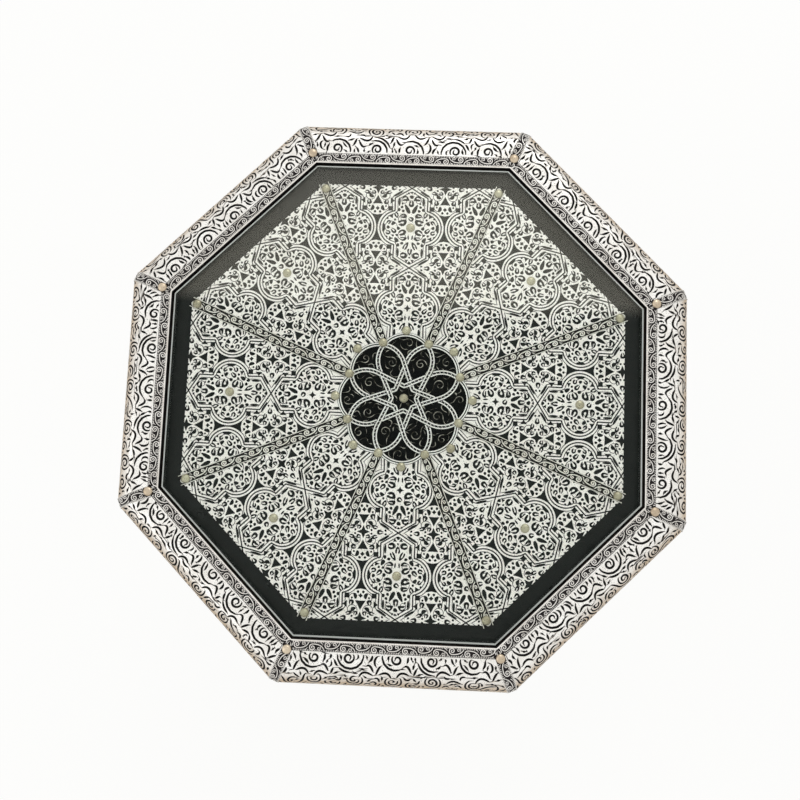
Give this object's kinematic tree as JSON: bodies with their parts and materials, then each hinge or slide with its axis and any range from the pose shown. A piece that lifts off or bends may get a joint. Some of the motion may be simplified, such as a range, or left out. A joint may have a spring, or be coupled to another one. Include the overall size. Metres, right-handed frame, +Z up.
{
  "type": "octagonal side table",
  "caption": "Octagonal side table with arched sides, a sheet-metal clad bullnose frame and a loose glass pane over a pierced metal field.",
  "frame": {"origin": "on the floor, under the middle of the top", "axes": "+Z up; the flats of the octagon face along X and Y; the side that faces the viewer looks along -Y"},
  "size_m": [0.505, 0.505, 0.5026],
  "materials": {
    "dark_wood": "dark stained hardwood, oiled",
    "embossed_metal": "embossed white metal sheet, blackened in the recesses",
    "pierced_metal": "pierced and engraved white metal sheet",
    "vine_strip": "narrow embossed strip, dark ground with a bright running vine",
    "nail_metal": "domed nickel nail heads, lightly worn",
    "strap_metal": "white metal straps with a dark middle groove",
    "black_inlay": "polished black inlay",
    "black_board": "board painted black",
    "clear_glass": "clear float glass with a polished bevel"
  },
  "bodies": {
    "table": {"border_strips": "vine_strip", "corner_blocks": "dark_wood", "corner_strips": "vine_strip", "field_nails": "nail_metal", "frame_nails": "nail_metal", "frame_rail_1": "dark_wood", "frame_rail_2": "dark_wood", "frame_rail_3": "dark_wood", "frame_rail_4": "dark_wood", "frame_rail_5": "dark_wood", "frame_rail_6": "dark_wood", "frame_rail_7": "dark_wood", "frame_rail_8": "dark_wood", "mitre_strips": "vine_strip", "radial_strips": "vine_strip", "rail_covers": "embossed_metal", "rosette_inlay": "black_inlay", "rosette_lattice": "strap_metal", "side_board_1": "dark_wood", "side_board_2": "dark_wood", "side_board_3": "dark_wood", "side_board_4": "dark_wood", "side_board_5": "dark_wood", "side_board_6": "dark_wood", "side_board_7": "dark_wood", "side_board_8": "dark_wood", "top_board": "black_board", "top_cleats": "dark_wood", "wedge_panel_1": "pierced_metal", "wedge_panel_2": "pierced_metal", "wedge_panel_3": "pierced_metal", "wedge_panel_4": "pierced_metal", "wedge_panel_5": "pierced_metal", "wedge_panel_6": "pierced_metal", "wedge_panel_7": "pierced_metal", "wedge_panel_8": "pierced_metal"},
    "glass": {"glass_pane": "clear_glass"}
  },
  "joints": [
    {"name": "glass_lift", "type": "slide", "parent": "table", "child": "glass", "axis": [0, 0, 1], "range_m": [0, 0.04]}
  ]
}
